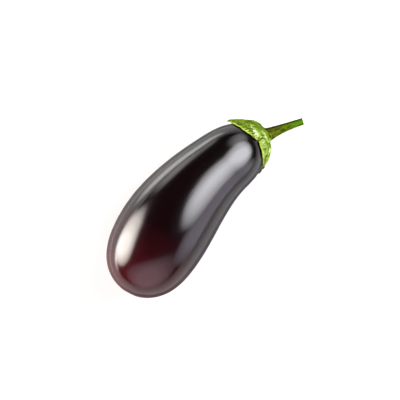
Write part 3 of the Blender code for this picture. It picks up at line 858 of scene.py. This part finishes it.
tip = Vector((np.cos(tip_angle).mean() * STEM_LENGTH, np.sin(tip_angle).mean() * STEM_LENGTH, 0))
tip_place = stem_place @ Matrix.Translation(tip) @ Matrix.Rotation(-STEM_BEND, 4, "Z")
cut_face.data.transform(tip_place)
bpy.context.scene.collection.objects.link(cut_face)

# Fresh-cut stalk wood: dry, fibrous and pale, so it looks matt beside the waxy bark.
WOOD_PALE = "#a9ad86"
PITH_GREEN = "#6f7a4a"

cut_wood, tree, shader = start_material("fresh-cut stalk wood")
place = add_node(tree, "ShaderNodeTexCoord").outputs["Object"]
middle = tip_place.translation
offset = add_node(tree, "ShaderNodeVectorMath", {0: place, 1: middle[:]}, operation="DISTANCE")
grain = add_node(tree, "ShaderNodeTexNoise", {"Vector": place, "Scale": 1800.0, "Detail": 2.0})
from_middle = add_node(
    tree, "ShaderNodeMath", {0: grain, 1: CUT_RADIUS * 0.3, 2: offset.outputs["Value"]},
    operation="MULTIPLY_ADD")
share = add_node(tree, "ShaderNodeMath", {0: from_middle, 1: CUT_RADIUS * 1.15}, operation="DIVIDE")
woods = add_node(tree, "ShaderNodeValToRGB", {"Fac": share})
woods.color_ramp.elements[0].color = linear(PITH_GREEN)
woods.color_ramp.elements[0].position = 0.3
woods.color_ramp.elements[1].color = linear(STALK_GREEN)
woods.color_ramp.elements[1].position = WOOD_END + 0.08
woods.color_ramp.elements.new(WOOD_START).color = linear(WOOD_PALE)
woods.color_ramp.elements.new(WOOD_END).color = linear(WOOD_PALE)
tree.links.new(woods.outputs["Color"], shader.inputs["Base Color"])
shader.inputs["Roughness"].default_value = 0.85
bump = add_node(tree, "ShaderNodeBump", {"Height": grain, "Distance": 0.0002, "Strength": 0.6})
tree.links.new(bump.outputs["Normal"], shader.inputs["Normal"])
cut_face.data.materials.append(cut_wood)
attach(cut_face, "root")

# The floor: a sheet of white paper, lit through from below so that it stays white in the picture.
FLOOR_SIZE = 12.0
PAPER_GREY = "#989898"
PAPER_GLOW = 0.48

floor_paper, tree, shader = start_material("white paper, lit through")
shader.inputs["Base Color"].default_value = linear(PAPER_GREY)
shader.inputs["Roughness"].default_value = 0.9
shader.inputs["Specular IOR Level"].default_value = 0.0
shader.inputs["Emission Color"].default_value = linear("#ffffff")
shader.inputs["Emission Strength"].default_value = PAPER_GLOW
sheet = bmesh.new()
bmesh.ops.create_grid(sheet, x_segments=1, y_segments=1, size=FLOOR_SIZE / 2)
floor = bpy.data.objects.new("floor", bpy.data.meshes.new("floor"))
sheet.to_mesh(floor.data)
sheet.free()
floor.data.materials.append(floor_paper)
bpy.context.scene.collection.objects.link(floor)

# The camera looks square onto the plane of the bend, one pixel to a millimetre there. Its roll
# leans the eggplant as in the photograph, and its aim keeps it at the same place in the frame.
AIM = Vector((0.11643, 0.01458, 0))
CAMERA_DISTANCE = 1.1111
CAMERA_ROLL = math.radians(-45)
camera = bpy.data.objects.new("camera", bpy.data.cameras.new("camera"))
camera.data.lens = 100
camera.data.sensor_width = 36
camera.data.clip_start = 0.01
camera.data.clip_end = 50
view_from = pose @ Matrix.Translation(AIM + Vector((0, 0, CAMERA_DISTANCE)))
camera.matrix_world = view_from @ Matrix.Rotation(CAMERA_ROLL, 4, "Z")
bpy.context.scene.collection.objects.link(camera)
bpy.context.scene.camera = camera

# Studio light: each softbox is given by where its glow lies seen from the eggplant, as an angle
# off the camera's axis and an azimuth in the picture, anticlockwise from its right-hand side.
# A real softbox fades towards its edges, so each one is made of nested lamps of equal strength.
NESTED = ((1.0, 1.0), (0.88, 0.92), (0.74, 0.82), (0.56, 0.7), (0.38, 0.56))
target = pose @ AIM
right, up, back = [camera.matrix_world.to_3x3().col[k].normalized() for k in range(3)]


def add_softbox(name, off_axis, azimuth, distance, size, radiance, colour, lean=0):
    """A soft oval light that faces the eggplant, turned by its lean."""
    off_axis, azimuth = math.radians(off_axis), math.radians(azimuth)
    sideways = math.cos(azimuth) * right + math.sin(azimuth) * up
    way = math.sin(off_axis) * sideways + math.cos(off_axis) * back
    across = way.cross(back).normalized()
    turn = Matrix((across, way.cross(across), way)).transposed().to_4x4()
    turn = turn @ Matrix.Rotation(math.radians(lean), 4, "Z")
    for k, (wide, deep) in enumerate(NESTED):
        lamp = bpy.data.objects.new(f"{name}_{k + 1}", bpy.data.lights.new(name, "AREA"))
        lamp.data.shape = "ELLIPSE"
        lamp.data.size, lamp.data.size_y = size[0] * wide, size[1] * deep
        oval = math.pi / 4 * lamp.data.size * lamp.data.size_y
        lamp.data.energy = radiance / len(NESTED) * math.pi * oval
        lamp.data.color = linear(colour)[:3]
        lamp.matrix_world = Matrix.Translation(target + (distance + 0.002 * k) * way) @ turn
        lamp.visible_camera = False
        bpy.context.scene.collection.objects.link(lamp)


WINDOW_WHITE = "#fffaf2"
SOFTBOX_WHITE = "#fafaff"
STRIP_MAUVE = "#f6eeff"
FILL_PINK = "#ffe0ea"
add_softbox("left_window", 76, 174, 1.5, (1.75, 1.6), 22, WINDOW_WHITE)
add_softbox("right_softbox", 40.5, 20.5, 0.3, (0.41, 0.315), 15.5, SOFTBOX_WHITE, 5)
add_softbox("right_strip", 74, -28, 1.5, (1.1, 1.4), 2.9, STRIP_MAUVE)
add_softbox("top_strip", 60, 68, 1.5, (1.3, 1.3), 3.2, SOFTBOX_WHITE)
add_softbox("far_strip", 84, 124, 1.5, (0.7, 0.7), 3.6, WINDOW_WHITE)
add_softbox("front_fill", 64, -95, 1.5, (3.2, 2.2), 2.2, FILL_PINK)


# Where soft round pools of light lie on the floor beyond the frame, as pixels of the picture
POOL_HEIGHT = 1.2
WINDOW_POOL_PIXEL, WINDOW_POOL_RADIUS, WINDOW_POOL_GLOW = (-760, 200), 0.6, 15
STREAK_POOL_PIXEL, STREAK_POOL_RADIUS, STREAK_POOL_GLOW = (35, -45), 0.17, 5


def floor_place(pixel):
    """The point on the floor under a pixel of the picture."""
    way = ((pixel[0] - 200) * right + (200 - pixel[1]) * up) / 1000 - CAMERA_DISTANCE * back
    start = camera.matrix_world.translation
    return start - way * start.z / way.z


def add_pool(name, pixel, radius, radiance):
    """A spotlight straight above a place on the floor, which lights a soft round pool there."""
    lamp = bpy.data.objects.new(name, bpy.data.lights.new(name, "SPOT"))
    lamp.data.spot_size = 2 * math.atan(radius / POOL_HEIGHT)
    lamp.data.spot_blend = 0.8
    lamp.data.shadow_soft_size = 0.02
    lamp.data.energy = radiance * 4 * math.pi ** 2 * POOL_HEIGHT ** 2 / linear(PAPER_GREY)[0]
    place = floor_place(pixel)
    lamp.location = (place.x, place.y, POOL_HEIGHT)
    bpy.context.scene.collection.objects.link(lamp)


add_pool("window_pool", WINDOW_POOL_PIXEL, WINDOW_POOL_RADIUS, WINDOW_POOL_GLOW)
add_pool("streak_pool", STREAK_POOL_PIXEL, STREAK_POOL_RADIUS, STREAK_POOL_GLOW)

world = bpy.data.worlds.new("dark studio")
world.use_nodes = True
world.node_tree.nodes["Background"].inputs["Color"].default_value = linear("#ffffff")
world.node_tree.nodes["Background"].inputs["Strength"].default_value = 0.015
bpy.context.scene.world = world
bpy.context.scene.view_settings.view_transform = "Standard"
